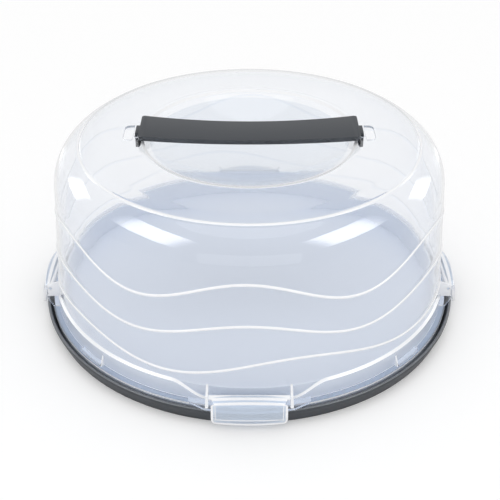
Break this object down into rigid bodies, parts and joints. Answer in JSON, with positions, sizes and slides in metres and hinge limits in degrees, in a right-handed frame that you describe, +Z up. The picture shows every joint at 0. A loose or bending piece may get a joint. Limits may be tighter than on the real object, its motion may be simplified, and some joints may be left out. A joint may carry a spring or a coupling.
{
  "type": "cake carrier",
  "caption": "Round cake carrier: shallow tray in a dark ring, clear domed lid that lifts off, hinged side clips and a flat carrying strap over a finger bowl.",
  "frame": {"origin": "centre of the base, on the surface that it stands on", "axes": "+Z up; the front clip faces -Y; the carrying strap lies along X"},
  "size_m": [0.3524, 0.3524, 0.1572],
  "materials": {
    "anthracite_plastic": "fine satin grain",
    "pale_plastic": "milky satin, slightly blue grey",
    "clear_plastic": "clear, polished",
    "frosted_plastic": "translucent, polished outside"
  },
  "bodies": {
    "base": {"base_tray": "pale_plastic", "base_ring": "anthracite_plastic"},
    "lid": {"lid": "clear_plastic"},
    "handle": {"handle": "anthracite_plastic"},
    "front_clip": {"front_clip": "frosted_plastic"},
    "right_clip": {"right_clip": "frosted_plastic"},
    "back_clip": {"back_clip": "frosted_plastic"},
    "left_clip": {"left_clip": "frosted_plastic"}
  },
  "joints": [
    {"name": "lid_lift", "type": "slide", "parent": "base", "child": "lid", "axis": [0, 0, 1], "range_m": [0, 0.15]},
    {"name": "handle_lift", "type": "slide", "parent": "lid", "child": "handle", "axis": [0, 0, 1], "range_m": [0, 0.006]},
    {"name": "front_clip_hinge", "type": "hinge", "parent": "lid", "child": "front_clip", "pos_m": [0, -0.1662, 0.0224], "axis": [-1, 0, 0], "range_deg": [0, 100]},
    {"name": "right_clip_hinge", "type": "hinge", "parent": "lid", "child": "right_clip", "pos_m": [0.1662, 0, 0.0224], "axis": [0, -1, 0], "range_deg": [0, 100]},
    {"name": "back_clip_hinge", "type": "hinge", "parent": "lid", "child": "back_clip", "pos_m": [0, 0.1662, 0.0224], "axis": [1, 0, 0], "range_deg": [0, 100]},
    {"name": "left_clip_hinge", "type": "hinge", "parent": "lid", "child": "left_clip", "pos_m": [-0.1662, 0, 0.0224], "axis": [0, 1, 0], "range_deg": [0, 100]}
  ]
}
